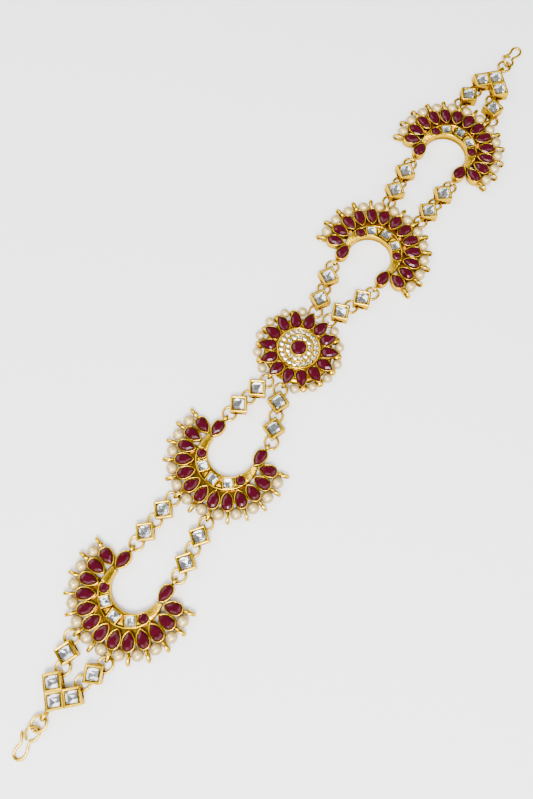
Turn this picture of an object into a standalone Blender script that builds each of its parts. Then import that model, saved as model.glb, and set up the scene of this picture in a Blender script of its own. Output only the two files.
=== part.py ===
"""Matha patti: a jewelled head chain, lying flat on its back.

A flower medallion is the middle. On each side two crescents follow it, joined by pairs of
chains whose links are square collets and jump rings, then a corner of three squares and
a wire hook. X runs along the chain, Z is up, and the origin is the middle of the
medallion's flat back. Sizes are millimetres times MM.
"""
import math

import bmesh
import bpy
from mathutils import Matrix, Vector

MM = 0.001

# Fits
CLEAR = 0.3 * MM              # air between pieces that hold each other
SOLDER = 0.06 * MM            # overlap where metal is soldered
SLACK = 0.15 * MM             # how far short of taut each step of a chain lies

# Jump rings, which all lie at one height
RING_INNER = 1.9 * MM         # inner radius
RING_WIRE = 0.84 * MM         # wire diameter
RING_Z = 1.35 * MM
RING_SIDES = 10
RING_WIRE_SIDES = 5

# Square collets, diagonal along the chain, with a slot behind each chain corner
SQUARE_SIDE = 5.85 * MM
SQUARE_HEIGHT = 4.0 * MM
SQUARE_STONE = 4.05 * MM      # side of the stone
STONE_RISE = 0.55 * MM        # table of a square stone above its rim
POST_DEPTH = 0.7 * MM         # corner post, from its edge to the slot
SLOT_RUN = 0.5 * MM           # free run of a ring in its slot
SQUARE_JOINT = 0.35 * MM      # overlap of two squares soldered side by side

# Eyelets on the crescents' rim
EYELET_THICK = 0.9 * MM
EYELET_WIRE = 0.5 * MM
EYELET_ROOT = 0.5 * MM        # how far an eyelet or loop is let into its setting
EYELETS = (-5, -3, -1, 1, 3, 5)    # the pears that carry one, counted from the middle pear
LOOP_OPEN = 1.7 * MM          # open length of a plain loop

# Pearls on a wire
PEARL = 4.0 * MM              # diameter, crescents
PEARL_SHOULDER = 0.475        # half length of a pearl's barrel, as a share of its radius
THREAD = 0.4 * MM             # wire diameter
THREAD_Z = 2.05 * MM
THREAD_ROOM = 0.7 * MM        # room round the wire in an eyelet

# Crescents: angles are measured from the axis that points to the middle pear
PEARS = 13
PEAR_PITCH = math.radians(18.16)
PEAR_RADIUS = 15.58 * MM      # centre of a pear's round end
PEAR_SETTING = 4.44 * MM      # width over the gold
PEAR_STONE = 3.5 * MM         # width of the stone
PEAR_LENGTH = 1.72            # length of a pear, as a share of its width
PEAR_DIP = 0.38 * MM          # the dip between two pears, in from those centres
PEAR_TOP = 3.4 * MM           # the rims of all settings
PEAR_RISE = 0.65 * MM         # table of a pear above its rim
THREAD_OUT = 1.51 * MM        # from the settings' edge out to the pearls' wire
EYELET_RUN = 2.0 * MM         # from that wire out to the far edge of an eyelet's hole
BAND_INNER = 8.0 * MM         # radius of the band's inner edge, about a centre of its own
BAND_SHIFT = -2.4 * MM        # that centre, along the axis
BAND_ANGLE = math.radians(95.0)    # the inner edge runs this far each way, about that centre
BAND_STEPS = 12
END_PEAR = (-7.9 * MM, 8.85 * MM)  # centre of an end pear's round part
END_PEAR_DROP = 0.1 * MM      # an end pear's rim below the others, and its back above theirs

# Medallion
PETALS = 14
PETAL_STONE = 3.5 * MM        # width of the stone
PETAL_LENGTH = 1.6            # length of the stone, as a share of its width
PETAL_REACH = 4.45 * MM       # from the centre of a petal's round end to its tip
PETAL_DIP = 0.4 * MM          # the dip between two petals, out from those centres
PETAL_TIP_WIDTH = 0.7 * MM
PETAL_BACK = 2.95 * MM
PETAL_TOP = 3.7 * MM
PETAL_RISE = 0.6 * MM
PLATE_TOP = 1.45 * MM
FINGER_OUT = 0.9 * MM         # fingers of the back plate, past the middle of the pearls
FINGER_WIDTH = 1.5 * MM
DRUM_STEP = 1.0 * MM          # the drum's side in from the plate's
MEDALLION_PEARL = 3.4 * MM
MEDALLION_PEARL_RADIUS = 14.6 * MM
MEDALLION_PEARLS = 6          # on each side of the chain's line
CHAIN_GAP = math.radians(28.0)     # from the chain's line to the first pearl
LUG_Y = 2.95 * MM             # the two chain lugs, either side of the chain's line
LUG_RUN = 2.15 * MM           # from the pearls' wire in a lug out to the far edge of its hole
DISC = [(1.0, 4.25 * MM), (0.67, 4.55 * MM), (0.4, 5.0 * MM)]   # share of the disc's radius, top
CABOCHON = 2.4 * MM           # radius
CABOCHON_RISE = 0.6 * MM

# How the pieces lie: height of each crescent off the chain's line, and its turn
LAY = {
    "inner_left": (-1.6 * MM, math.radians(-1.2)),
    "outer_left": (-1.28 * MM, math.radians(-2.2)),
    "inner_right": (-1.79 * MM, math.radians(-2.3)),
    "outer_right": (-2.79 * MM, math.radians(-1.0)),
}
CORNER_DROP = {"left": -0.9 * MM, "right": -1.9 * MM}   # height of each end corner

# Hooks: the wire, from the end of its small eye to its free tip
HOOK_WIRE = 0.9 * MM
HOOK_ROUTE = [
    (4.6, 0.5, 1.0), (3.4, 1.5, 1.9), (2.0, 1.9, 2.6), (0.8, 1.45, 2.75), (0.05, 0.4, 1.9),
    (0.05, -0.6, 1.1), (0.75, -1.5, 0.47), (2.1, -2.0, 0.47), (3.6, -1.7, 0.47),
    (4.9, -0.75, 0.47), (7.0, -1.7, 0.47), (8.9, -2.1, 0.47), (10.2, -1.6, 0.47),
    (10.8, -0.4, 0.47), (10.3, 0.9, 0.47), (8.9, 1.5, 0.47), (7.0, 1.3, 0.47),
    (5.6, 1.75, 0.47), (4.0, 2.9, 0.47),
]
BAIL_OPEN = 2.35 * MM         # open length of the loop that carries the end ring
END_RING_LIFT = 0.25 * MM     # the end ring lies on the hook's wire

# Sizes that follow
RING_MEAN = RING_INNER + RING_WIRE / 2
SLOT_BOTTOM = RING_Z - RING_WIRE / 2 - CLEAR
SLOT_TOP = RING_Z + RING_WIRE / 2 + CLEAR
HALF_DIAGONAL = SQUARE_SIDE / math.sqrt(2)
REACH = HALF_DIAGONAL - POST_DEPTH + math.sqrt((RING_INNER - CLEAR) ** 2 - POST_DEPTH ** 2)
STEP = REACH - SLACK
SLOT_INNER = REACH - RING_MEAN - RING_WIRE / 2 - CLEAR - SLACK - SLOT_RUN
# from the far edge of an eyelet's hole to the middle of the ring that it holds
HANG = math.sqrt((RING_INNER - CLEAR) ** 2 - (EYELET_THICK / 2) ** 2) - SLACK
LOOP_BOTTOM = SLOT_BOTTOM - EYELET_WIRE
CREST = PEAR_RADIUS + PEAR_SETTING / 2 * math.cos(math.radians(25))
PEAR_VALLEY = PEAR_RADIUS - PEAR_DIP
THREAD_RADIUS = CREST + THREAD_OUT
EYELET_REACH = THREAD_RADIUS + EYELET_RUN
TAIL_NEAR = PEAR_SETTING / 2 + CLEAR
TAIL_RING = END_PEAR[0] - TAIL_NEAR - LOOP_OPEN - HANG
PLATE_RADIUS = MEDALLION_PEARL_RADIUS - MEDALLION_PEARL / 2 - 3 * CLEAR
DRUM_RADIUS = PLATE_RADIUS - DRUM_STEP
FINGER_REACH = MEDALLION_PEARL_RADIUS + FINGER_OUT
PETAL_TIP = MEDALLION_PEARL_RADIUS - CLEAR
PETAL_RADIUS = PETAL_TIP - PETAL_REACH
PETAL_VALLEY = PETAL_RADIUS + PETAL_DIP
DISC_RADIUS = PETAL_RADIUS - PETAL_STONE / 2 - 2 * CLEAR
LUG_REACH = MEDALLION_PEARL_RADIUS - CLEAR / 2
LUG_THREAD = LUG_REACH - LUG_RUN
LUG_RING = LUG_REACH + HANG
ARM = (SQUARE_SIDE - SQUARE_JOINT) / math.sqrt(2)
BAIL_NEAR = HALF_DIAGONAL + CLEAR
END_RING = BAIL_NEAR + BAIL_OPEN + HANG
HOOK_SEAT = END_RING + RING_INNER - CLEAR - HOOK_WIRE / 2


def empty_scene():
    """Removes what the scene holds and makes the jewel's collection."""
    for old in list(bpy.data.objects):
        bpy.data.objects.remove(old, do_unlink=True)
    jewel = bpy.data.collections.new("matha_patti")
    bpy.context.scene.collection.children.link(jewel)
    return jewel


def finish(name, colour, metallic, roughness):
    made = bpy.data.materials.new(name)
    made.use_nodes = True
    shader = made.node_tree.nodes["Principled BSDF"]
    shader.inputs["Base Color"].default_value = (*colour, 1.0)
    shader.inputs["Metallic"].default_value = metallic
    shader.inputs["Roughness"].default_value = roughness
    return made


def polar(radius, angle):
    return Vector((radius * math.cos(angle), radius * math.sin(angle)))


def circle(radius, sides):
    return [polar(radius, math.tau * i / sides) for i in range(sides)]


def square(side):
    return [polar(side / math.sqrt(2), math.pi / 4 + math.pi / 2 * i) for i in range(4)]


def pear(width, length):
    """Eight points of a pear whose round part is at the origin and whose point is at -X."""
    radius = width / 2
    tip = length - radius
    tangent = math.pi - math.acos(radius / tip)
    return [Vector((-tip, 0.0))] + [polar(radius, tangent * step / 3) for step in range(-3, 4)]


def moved(outline, centre=(0.0, 0.0), turn=0.0):
    spin = Matrix.Rotation(turn, 2)
    return [Vector(centre) + spin @ point for point in outline]


def raised(outline, levels, centre=(0.0, 0.0)):
    """A closed solid drawn up from an outline; levels are pairs of height and scale."""
    pivot = Vector(centre)
    height, scale = levels[0]
    bm = bmesh.new()
    bottom = bm.faces.new([bm.verts.new((*(pivot + (point - pivot) * scale), height)) for point in outline])
    face = bottom
    for height, share in levels[1:]:
        grown = bmesh.ops.extrude_face_region(bm, geom=[face])["geom"]
        if face is not bottom:
            bm.faces.remove(face)
        face = next(item for item in grown if isinstance(item, bmesh.types.BMFace))
        for vert in face.verts:
            vert.co = (*(pivot + (vert.co.xy - pivot) * (share / scale)), height)
        scale = share
    bmesh.ops.recalc_face_normals(bm, faces=bm.faces)
    mesh = bpy.data.meshes.new("solid")
    bm.to_mesh(mesh)
    bm.free()
    return mesh


def stone(outline, rim, rise, centre=(0.0, 0.0), table=0.6):
    """A cut stone's crown: its facets start in the metal and run up to a flat table."""
    return raised(outline, [(rim - 0.2 * MM, 1.0), (rim + rise, table)], centre)


def step_stone(side, rim, centre=(0.0, 0.0), turn=0.0):
    """A square stone cut in two steps of four facets, with a table."""
    outline = moved(square(side), centre, turn)
    levels = [(rim - 0.2 * MM, 1.0), (rim + 0.55 * STONE_RISE, 0.84), (rim + STONE_RISE, 0.6)]
    return raised(outline, levels, centre)


def from_curve(curve):
    """The mesh of a curve, with its caps welded on."""
    holder = bpy.data.objects.new("curve", curve)
    bpy.context.scene.collection.objects.link(holder)
    graph = bpy.context.evaluated_depsgraph_get()
    mesh = bpy.data.meshes.new_from_object(holder.evaluated_get(graph))
    bpy.data.objects.remove(holder)
    bm = bmesh.new()
    bm.from_mesh(mesh)
    bmesh.ops.remove_doubles(bm, verts=bm.verts, dist=0.0005 * MM)
    bmesh.ops.recalc_face_normals(bm, faces=bm.faces)
    bm.to_mesh(mesh)
    bm.free()
    return mesh


def wire(points, thickness, resolution, radii=None, closed=False):
    """A wire along points; resolution 1, 2 or 3 gives it 6, 8 or 10 sides."""
    curve = bpy.data.curves.new("wire", "CURVE")
    curve.dimensions = "3D"
    curve.bevel_depth = thickness / 2
    curve.bevel_resolution = resolution
    curve.use_fill_caps = not closed
    spline = curve.splines.new("POLY")
    spline.points.add(len(points) - 1)
    spline.use_cyclic_u = closed
    for index, point in enumerate(points):
        spline.points[index].co = (*point, 1.0)
        spline.points[index].radius = radii[index] / (thickness / 2) if radii else 1.0
    return from_curve(curve)


def plate(outlines, thickness):
    """A flat plate in the XZ plane: the first outline is its edge, the others are holes."""
    curve = bpy.data.curves.new("plate", "CURVE")
    curve.dimensions = "2D"
    curve.fill_mode = "BOTH"
    curve.extrude = thickness / 2
    for outline in outlines:
        spline = curve.splines.new("POLY")
        spline.points.add(len(outline) - 1)
        spline.use_cyclic_u = True
        for index, point in enumerate(outline):
            spline.points[index].co = (point[0], point[1], 0.0, 1.0)
    mesh = from_curve(curve)
    mesh.transform(Matrix.Rotation(math.pi / 2, 4, "X"))
    return mesh


def eyelet(root, hole_near, hole_far, hole_top):
    """An upright loop in the XZ plane, from its root in the metal to its far edge."""
    tip = hole_far + EYELET_WIRE
    top = hole_top + EYELET_WIRE
    edge = [(root, LOOP_BOTTOM), (tip, LOOP_BOTTOM), (tip, top), (root, top)]
    hole = [(hole_near, SLOT_BOTTOM), (hole_near, hole_top), (hole_far, hole_top), (hole_far, SLOT_BOTTOM)]
    return plate([edge, hole], EYELET_THICK)


def placed(mesh, turn=0.0, shift=(0.0, 0.0, 0.0)):
    """A copy of a mesh, turned about Z and then shifted."""
    copy = mesh.copy()
    copy.transform(Matrix.Translation(shift) @ Matrix.Rotation(turn, 4, "Z"))
    return copy


def joined(meshes):
    bm = bmesh.new()
    for mesh in meshes:
        bm.from_mesh(mesh)
    whole = bpy.data.meshes.new("joined")
    bm.to_mesh(whole)
    bm.free()
    return whole


def place_number(spot):
    """One number for a place, counted in hundredths of a millimetre along X, then Y, then Z."""
    across, along, up = (round(value / (0.01 * MM)) for value in spot)
    return (across * 100000.0 + along) * 100000.0 + up


def put_in_order(bm):
    """Sorts a mesh's elements by place, so that each run gives the same mesh."""
    bm.verts.sort(key=lambda vert: place_number(vert.co))
    bm.edges.sort(key=lambda edge: place_number((edge.verts[0].co + edge.verts[1].co) / 2))
    bm.faces.sort(key=lambda face: place_number(face.calc_center_median()))


def boolean(mesh, other, operation):
    """The mesh united with, or cut by, another that may cross itself."""
    body = bpy.data.objects.new("body", mesh)
    tool = bpy.data.objects.new("tool", other)
    for holder in (body, tool):
        bpy.context.scene.collection.objects.link(holder)
    step = body.modifiers.new("boolean", "BOOLEAN")
    step.operation = operation
    step.solver = "EXACT"
    step.use_self = True
    step.object = tool
    graph = bpy.context.evaluated_depsgraph_get()
    result = bpy.data.meshes.new_from_object(body.evaluated_get(graph))
    for holder in (body, tool):
        bpy.data.objects.remove(holder)
    bm = bmesh.new()
    bm.from_mesh(result)
    bmesh.ops.remove_doubles(bm, verts=bm.verts, dist=0.001 * MM)
    put_in_order(bm)
    bmesh.ops.dissolve_degenerate(bm, edges=bm.edges, dist=0.001 * MM)
    bmesh.ops.dissolve_limit(bm, angle_limit=math.radians(0.5), verts=bm.verts, edges=bm.edges)
    bmesh.ops.triangulate(bm, faces=bm.faces)
    bm.to_mesh(result)
    bm.free()
    return result


def soldered(meshes):
    """One solid from pieces that overlap where they are soldered or set."""
    return boolean(meshes[0], joined(meshes[1:]), "UNION")


def jump_ring():
    bpy.ops.mesh.primitive_torus_add(
        major_segments=RING_SIDES, minor_segments=RING_WIRE_SIDES,
        major_radius=RING_MEAN, minor_radius=RING_WIRE / 2)
    ring = bpy.context.object
    mesh = ring.data.copy()
    bpy.data.objects.remove(ring)
    return mesh


def slot(side, floor=SLOT_BOTTOM):
    """The cutter for the slot behind one chain corner; side is -1 or 1 along X."""
    outer = HALF_DIAGONAL - POST_DEPTH
    middle = side * (outer + SLOT_INNER) / 2
    half_width = (outer - SLOT_INNER) / 2
    outline = [Vector((middle + x * half_width, y * SQUARE_SIDE)) for x, y in ((-1, -1), (1, -1), (1, 1), (-1, 1))]
    return raised(outline, [(floor, 1.0), (SLOT_TOP, 1.0)])


def square_link(floor=SLOT_BOTTOM):
    """A square collet with its diagonal along X, its stone, and a slot behind each chain corner."""
    body = raised(moved(square(SQUARE_SIDE), turn=math.pi / 4), [(0.0, 1.0), (SQUARE_HEIGHT, 1.0)])
    body = soldered([body, step_stone(SQUARE_STONE, SQUARE_HEIGHT, turn=math.pi / 4)])
    return boolean(body, joined([slot(-1, floor), slot(1, floor)]), "DIFFERENCE")


def short_chain(length):
    """Ring, square and ring in line, soldered into one; length is from ring to ring."""
    ring = jump_ring()
    link = square_link(floor=RING_Z - RING_WIRE / 2 + SOLDER)
    half = length / 2
    return soldered([link, placed(ring, shift=(-half, 0.0, RING_Z)), placed(ring, shift=(half, 0.0, RING_Z))])


def end_corner():
    """Three squares soldered round a corner, with a loop on the corner, which points to +X."""
    places = [(0.0, 0.0), (-ARM, ARM), (-ARM, -ARM)]
    near = SQUARE_SIDE / 2
    far = near + SQUARE_SIDE - SQUARE_JOINT
    angle = [(near, near), (-far, near), (-far, -near), (-near, -near), (-near, -far), (near, -far)]
    collets = raised(moved([Vector(point) for point in angle], turn=-math.pi / 4), [(0.0, 1.0), (SQUARE_HEIGHT, 1.0)])
    loop = eyelet(HALF_DIAGONAL - EYELET_ROOT, BAIL_NEAR, BAIL_NEAR + BAIL_OPEN, SLOT_TOP + END_RING_LIFT)
    stones = [step_stone(SQUARE_STONE, SQUARE_HEIGHT, place, math.pi / 4) for place in places]
    slots = [placed(slot(-1), shift=(*place, 0.0)) for place in places[1:]]
    return boolean(soldered([collets] + stones + [loop]), joined(slots), "DIFFERENCE")


def crest():
    """The outer edge of a crescent: two points on each pear's round end and one in each dip."""
    half = (PEARS - 1) // 2
    points = [polar(PEAR_VALLEY, -(half + 0.5) * PEAR_PITCH)]
    for index in range(-half, half + 1):
        angle = index * PEAR_PITCH
        for side in (-1, 1):
            shoulder = Vector((PEAR_RADIUS, 0.0)) + polar(PEAR_SETTING / 2, side * math.radians(25))
            points.append(Matrix.Rotation(angle, 2) @ shoulder)
        points.append(polar(PEAR_VALLEY, angle + PEAR_PITCH / 2))
    return points


def crescent():
    """The casting of one crescent with its stones and eyelets; its middle pear is on +X."""
    half = (PEARS - 1) // 2
    turns = [BAND_ANGLE - 2 * BAND_ANGLE * step / BAND_STEPS for step in range(BAND_STEPS + 1)]
    band = [polar(BAND_INNER, turn) + Vector((BAND_SHIFT, 0.0)) for turn in turns]
    pieces = [raised(crest() + band, [(0.0, 1.0), (PEAR_TOP, 1.0)])]
    gem = pear(PEAR_STONE, PEAR_LENGTH * PEAR_STONE)
    for index in range(-half, half + 1):
        turn = index * PEAR_PITCH
        centre = polar(PEAR_RADIUS, turn)
        pieces.append(stone(moved(gem, centre, turn), PEAR_TOP, PEAR_RISE, centre))
    loop = eyelet(CREST - EYELET_ROOT, THREAD_RADIUS - THREAD_ROOM, EYELET_REACH, THREAD_Z + THREAD_ROOM)
    for index in EYELETS:
        pieces.append(placed(loop, index * PEAR_PITCH))
    setting = pear(PEAR_SETTING, PEAR_LENGTH * PEAR_STONE + PEAR_SETTING - PEAR_STONE)
    tail = eyelet(PEAR_SETTING / 2 - EYELET_ROOT, TAIL_NEAR, TAIL_NEAR + LOOP_OPEN, SLOT_TOP)
    for side in (-1, 1):
        centre = Vector((END_PEAR[0], side * END_PEAR[1]))
        rim = PEAR_TOP - END_PEAR_DROP
        pieces.append(raised(moved(setting, centre, math.pi), [(END_PEAR_DROP, 1.0), (rim, 1.0)]))
        pieces.append(stone(moved(gem, centre, math.pi), rim, PEAR_RISE, centre))
        pieces.append(placed(tail, math.pi, (*centre, 0.0)))
    return soldered(pieces)


def bead_run(start, centre, diameter):
    """A wire's point ahead of a bead and the two of the bead's barrel, with their radii."""
    start = Vector((*start, THREAD_Z))
    centre = Vector((*centre, THREAD_Z))
    along = (centre - start).normalized() * diameter / 2 * PEARL_SHOULDER
    barrel = diameter / 2 * math.sqrt(1 - PEARL_SHOULDER ** 2)
    return [(start, THREAD / 2), (centre - along, barrel), (centre + along, barrel)]


def crescent_pearls():
    """Twelve pearls on a wire that runs through the eyelets of a crescent."""
    half = (PEARS - 1) // 2
    holes = [polar(THREAD_RADIUS, index * PEAR_PITCH) for index in range(-half, half + 1)]
    run = []
    for pair in zip(holes[:-1], holes[1:]):
        run += bead_run(pair[0], (pair[0] + pair[1]) / 2, PEARL)
    run.append((Vector((*holes[-1], THREAD_Z)), THREAD / 2))
    return wire([point for point, radius in run], PEARL, 3, [radius for point, radius in run])


def pearl_angles():
    """Where the medallion's pearls sit, the same on each side of the chain's line."""
    spread = (math.pi - 2 * CHAIN_GAP) / (MEDALLION_PEARLS - 1)
    upper = [CHAIN_GAP + spread * index for index in range(MEDALLION_PEARLS)]
    return upper, [angle + math.pi for angle in upper], spread


def medallion_pearls():
    """A ring of wire with the medallion's pearls; it runs through the four chain lugs."""
    upper, lower, spread = pearl_angles()
    end = MEDALLION_PEARL / 2 / MEDALLION_PEARL_RADIUS
    run = []
    for angles, side in ((upper, 1), (lower, -1)):
        run.append((Vector((side * LUG_THREAD, side * LUG_Y, THREAD_Z)), THREAD / 2))
        for angle in angles:
            gap = end if angle == angles[0] else spread / 2
            start = polar(MEDALLION_PEARL_RADIUS, angle - gap)
            run += bead_run(start, polar(MEDALLION_PEARL_RADIUS, angle), MEDALLION_PEARL)
        run.append((Vector((*polar(MEDALLION_PEARL_RADIUS, angles[-1] + end), THREAD_Z)), THREAD / 2))
        run.append((Vector((-side * LUG_THREAD, side * LUG_Y, THREAD_Z)), THREAD / 2))
    return wire([point for point, radius in run], MEDALLION_PEARL, 3, [radius for point, radius in run], closed=True)


def medallion():
    """The flower: a back plate with fingers, a drum, fourteen petals, a stepped disc and a cabochon."""
    upper, lower, spread = pearl_angles()
    plate_edge = []
    for angles in (upper, lower):
        plate_edge.append(polar(PLATE_RADIUS, angles[0]))
        for angle in angles[:-1]:
            finger = angle + spread / 2
            side = Matrix.Rotation(finger, 2) @ Vector((0.0, FINGER_WIDTH / 2))
            for radius, sign in ((PLATE_RADIUS, -1), (FINGER_REACH, -1), (FINGER_REACH, 1), (PLATE_RADIUS, 1)):
                plate_edge.append(polar(radius, finger) + sign * side)
        plate_edge.append(polar(PLATE_RADIUS, angles[-1]))
    pieces = [raised(plate_edge, [(0.0, 1.0), (PLATE_TOP, 1.0)])]
    pieces.append(raised(circle(DRUM_RADIUS, 16), [(PLATE_TOP - 0.3 * MM, 1.0), (PETAL_BACK + 0.3 * MM, 1.0)]))
    pitch = math.tau / PETALS
    gem = pear(PETAL_STONE, PETAL_LENGTH * PETAL_STONE)
    flower = []
    for index in range(PETALS):
        turn = (index + 0.5) * pitch
        centre = polar(PETAL_RADIUS, turn)
        pieces.append(stone(moved(gem, centre, turn + math.pi), PETAL_TOP, PETAL_RISE, centre))
        flower.append(polar(PETAL_VALLEY, turn - pitch / 2))
        for side in (-1, 1):
            flower.append(Matrix.Rotation(turn, 2) @ Vector((PETAL_TIP, side * PETAL_TIP_WIDTH / 2)))
    pieces.append(raised(flower, [(PETAL_BACK, 1.0), (PETAL_TOP, 1.0)]))
    base = PETAL_BACK + 0.15 * MM
    for share, top in DISC:
        pieces.append(raised(circle(DISC_RADIUS * share, 16), [(base, 1.0), (top, 1.0)]))
        base = top - 0.3 * MM
    top = DISC[-1][1]
    pieces.append(stone(circle(CABOCHON, 10), top, CABOCHON_RISE))
    lug = eyelet(DRUM_RADIUS - 0.8 * MM, LUG_THREAD - THREAD_ROOM, LUG_REACH, THREAD_Z + THREAD_ROOM)
    for turn in (0.0, math.pi):
        for side in (-1, 1):
            pieces.append(placed(placed(lug, shift=(0.0, side * LUG_Y, 0.0)), turn))
    return soldered(pieces)


def hook(side):
    """A bent wire hook; side 1 points to +X and side -1 to -X."""
    points = [Vector((side * x, y, z)) * MM for x, y, z in HOOK_ROUTE]
    return wire(points, HOOK_WIRE, 1)


def seat(side, spots, offsets, height, reach):
    """X of a piece whose two ends hang from two spots by chains of one reach."""
    ends = []
    for spot, offset in zip(spots, offsets):
        run = math.sqrt(reach ** 2 - (height + offset[1] - spot[1]) ** 2)
        ends.append(side * (spot[0] - offset[0]) + run)
    return side * min(ends)


def heading(start, stop):
    return math.atan2(stop[1] - start[1], stop[0] - start[0])


def lay(jewel, name, mesh, spot, turn=0.0, height=0.0):
    item = bpy.data.objects.new(name, mesh)
    item.location = (spot[0], spot[1], height)
    item.rotation_euler = (0.0, 0.0, turn)
    jewel.objects.link(item)


def lay_chain(jewel, name, ring, link, start, stop):
    """Ring, square, ring, square and ring, evenly from start to stop."""
    for index, (kind, mesh, height) in enumerate((
            ("ring", ring, RING_Z), ("square", link, 0.0), ("ring", ring, RING_Z),
            ("square", link, 0.0), ("ring", ring, RING_Z))):
        lay(jewel, f"{name}_{kind}_{index + 1}", mesh, start.lerp(stop, index / 4), heading(start, stop), height)


def finished(mesh, material, smooth=False):
    mesh.materials.clear()
    mesh.materials.append(material)
    if smooth:
        mesh.shade_smooth()
        mesh.set_sharp_from_angle(angle=math.radians(50))
    return mesh


def build():
    jewel = empty_scene()
    cast = finish("gold_casting", (0.83, 0.52, 0.18), 1.0, 0.22)
    drawn = finish("gold_wire", (0.86, 0.56, 0.2), 1.0, 0.18)
    nacre = finish("pearl", (0.87, 0.8, 0.66), 0.0, 0.25)
    ring = finished(jump_ring(), drawn, smooth=True)
    link = finished(square_link(), cast)
    moon = finished(crescent(), cast)
    moon_pearls = finished(crescent_pearls(), nacre, smooth=True)
    corner = finished(end_corner(), cast)
    lay(jewel, "medallion", finished(medallion(), cast), (0.0, 0.0))
    lay(jewel, "medallion_pearls", finished(medallion_pearls(), nacre, smooth=True), (0.0, 0.0))
    for side, name in ((-1, "left"), (1, "right")):
        facing = math.pi if side < 0 else 0.0
        rows = (("upper", side), ("lower", -side))
        spots = [Vector((side * LUG_RING, LUG_Y)), Vector((side * LUG_RING, -LUG_Y))]
        for place in ("inner", "outer"):
            height, tilt = LAY[f"{place}_{name}"]
            spin = Matrix.Rotation(facing + tilt, 2)
            tails = [spin @ Vector((TAIL_RING, way * END_PEAR[1])) for row, way in rows]
            centre = Vector((seat(side, spots, tails, height, 4 * STEP), height))
            lay(jewel, f"crescent_{place}_{name}", moon, centre, facing + tilt)
            lay(jewel, f"pearls_{place}_{name}", moon_pearls, centre, facing + tilt)
            for (row, way), spot, tail in zip(rows, spots, tails):
                lay_chain(jewel, f"chain_{place}_{name}_{row}", ring, link, spot, centre + tail)
            spots = [centre + spin @ polar(EYELET_REACH + HANG, way * PEAR_PITCH) for row, way in rows]
        # the last ring of each short chain hangs straight off its arm of the corner
        arms = [Vector((-side * (ARM + STEP), ARM)), Vector((-side * (ARM + STEP), -ARM))]
        height = CORNER_DROP[name]
        centre = Vector((seat(side, spots, arms, height, 2 * STEP), height))
        lay(jewel, f"corner_{name}", corner, centre, facing)
        for (row, way), spot, arm in zip(rows, spots, arms):
            last = centre + arm
            chain = finished(short_chain((last - spot).length), cast)
            lay(jewel, f"short_chain_{name}_{row}", chain, (spot + last) / 2, heading(spot, last))
        lay(jewel, f"end_ring_{name}", ring, centre + Vector((side * END_RING, 0.0)), 0.0, RING_Z + END_RING_LIFT)
        lay(jewel, f"hook_{name}", finished(hook(side), drawn, smooth=True), centre + Vector((side * HOOK_SEAT, 0.0)))


build()
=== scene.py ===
import math

import bmesh
import bpy
from mathutils import Matrix, Vector


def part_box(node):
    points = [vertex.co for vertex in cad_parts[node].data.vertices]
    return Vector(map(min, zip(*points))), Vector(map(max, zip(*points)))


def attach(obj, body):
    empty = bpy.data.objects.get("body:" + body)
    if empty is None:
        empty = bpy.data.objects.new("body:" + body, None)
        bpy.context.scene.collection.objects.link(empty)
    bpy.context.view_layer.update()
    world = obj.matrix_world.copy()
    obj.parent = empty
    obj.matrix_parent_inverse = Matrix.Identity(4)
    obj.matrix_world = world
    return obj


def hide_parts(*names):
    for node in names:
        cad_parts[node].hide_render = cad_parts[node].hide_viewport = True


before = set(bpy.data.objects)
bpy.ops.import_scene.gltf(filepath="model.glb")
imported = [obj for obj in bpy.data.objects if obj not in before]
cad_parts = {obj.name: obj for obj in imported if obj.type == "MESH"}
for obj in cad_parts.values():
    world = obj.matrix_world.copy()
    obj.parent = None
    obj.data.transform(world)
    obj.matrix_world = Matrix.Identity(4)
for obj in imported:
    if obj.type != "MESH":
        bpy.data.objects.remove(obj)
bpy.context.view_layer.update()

# Crescent castings
# Four half-moon castings. Each pear collet is a thin-walled cup burnished over its stone;
# the inner band has two raised rails, collets for three squares and two rounds, and ends
# with milled ribs. Upright wire eyelets are soldered to the pears' rims.
MM = 0.001

# Name, place along X and Y, and turn in degrees
CRESCENTS = (
    ("inner_left", -46.38, -1.6, 178.8),
    ("outer_left", -99.78, -1.28, 177.8),
    ("inner_right", 47.19, -1.79, -2.3),
    ("outer_right", 100.73, -2.79, -1.0),
)
PEAR_PITCH = math.radians(18.16)
PEAR_RADIUS = 15.58
PEAR = (2.2, 0.6, 3.95, 4.6)
END_PEAR = (-7.9, 8.85)
PEAR_INDEXES = range(-6, 7)
BAND_SQUARE_RADIUS = 8.3
BAND_SQUARE_ANGLES = [side * math.radians(38.75) for side in (-1, 0, 1)]
BAND_ROUND_RADIUS = 8.72
BAND_ROUND_ANGLE = math.radians(67.5)

# Polished yellow gold plate over brass. Open faces are pale and bright. Deep corners between the settings are
# painted a darker orange brown by an ambient occlusion mask; this is painted shade.
plate = bpy.data.node_groups.new("GoldPlate", "ShaderNodeTree")
for name, kind in (("Colour", "NodeSocketColor"), ("Roughness", "NodeSocketFloat"),
                   ("Height", "NodeSocketFloat")):
    plate.interface.new_socket(name=name, in_out="OUTPUT", socket_type=kind)
nodes = plate.nodes
links = plate.links
coord = nodes.new("ShaderNodeTexCoord")
cloud = nodes.new("ShaderNodeTexNoise")
cloud.inputs["Scale"].default_value = 420.0
cloud.inputs["Detail"].default_value = 3.0
links.new(coord.outputs["Object"], cloud.inputs["Vector"])
# Ambient occlusion mask that places the painted shade in closed-in corners
shade = nodes.new("ShaderNodeAmbientOcclusion")
shade.samples = 6
shade.inputs["Distance"].default_value = 4.0 * MM
painted_shade_amount = nodes.new("ShaderNodeMapRange")
painted_shade_amount.inputs["From Min"].default_value = 0.3
painted_shade_amount.inputs["From Max"].default_value = 1.0
links.new(shade.outputs["AO"], painted_shade_amount.inputs["Value"])
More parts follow.
